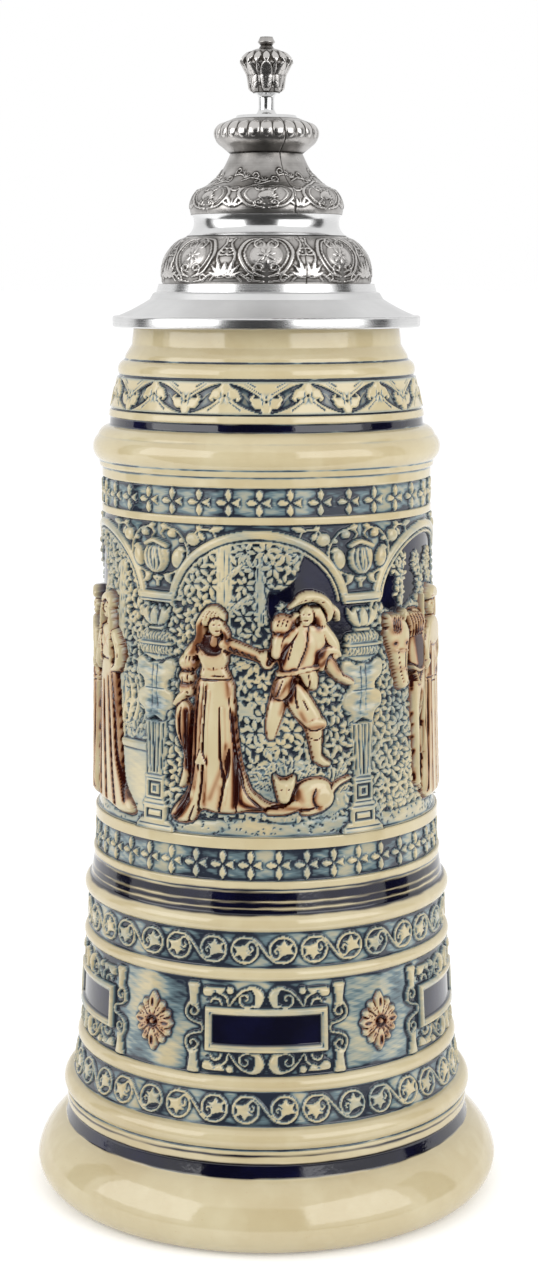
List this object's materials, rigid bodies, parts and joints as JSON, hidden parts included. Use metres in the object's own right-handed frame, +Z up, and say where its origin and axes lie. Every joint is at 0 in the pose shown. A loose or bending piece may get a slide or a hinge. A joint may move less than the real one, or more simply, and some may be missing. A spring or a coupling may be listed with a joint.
{
  "type": "beer stein",
  "caption": "Tall relief-moulded stoneware beer stein with an ear handle and a hinged, tiered pewter lid with a thumblift and an urn finial.",
  "frame": {"origin": "centre of the foot ring's rest plane, on the jug's turning axis", "axes": "+Z up along the jug's axis, -Y the decorated front, +Y the handle and the lid hinge, +X to the right seen from the front"},
  "size_m": [0.1888, 0.2248, 0.46],
  "materials": {
    "glazed_stoneware": "gloss clear glaze over cream body, blue and brown washes in the relief, dark blue bands",
    "polished_pewter": "turned and polished pewter",
    "antiqued_pewter": "cast pewter with darkened recesses",
    "hinge_pewter": "satin pewter"
  },
  "bodies": {
    "stein": {"stoneware_jug": "glazed_stoneware", "stoneware_handle": "glazed_stoneware", "handle_strap": "hinge_pewter", "strap_riser": "hinge_pewter", "hinge_pin": "hinge_pewter", "hinge_cap_left": "hinge_pewter", "hinge_cap_right": "hinge_pewter"},
    "lid": {"lid_shank": "hinge_pewter", "thumblift": "antiqued_pewter", "lid_flange": "polished_pewter", "lower_embossed_band": "antiqued_pewter", "cove_ring": "polished_pewter", "upper_embossed_bell": "antiqued_pewter", "crown_knop": "antiqued_pewter", "finial_plate": "polished_pewter", "finial_post": "polished_pewter", "finial_urn": "antiqued_pewter"}
  },
  "joints": [
    {"name": "lid_hinge", "type": "hinge", "parent": "stein", "child": "lid", "pos_m": [0, 0.071, 0.3535], "axis": [-1, 0, 0], "range_deg": [0, 105]}
  ]
}
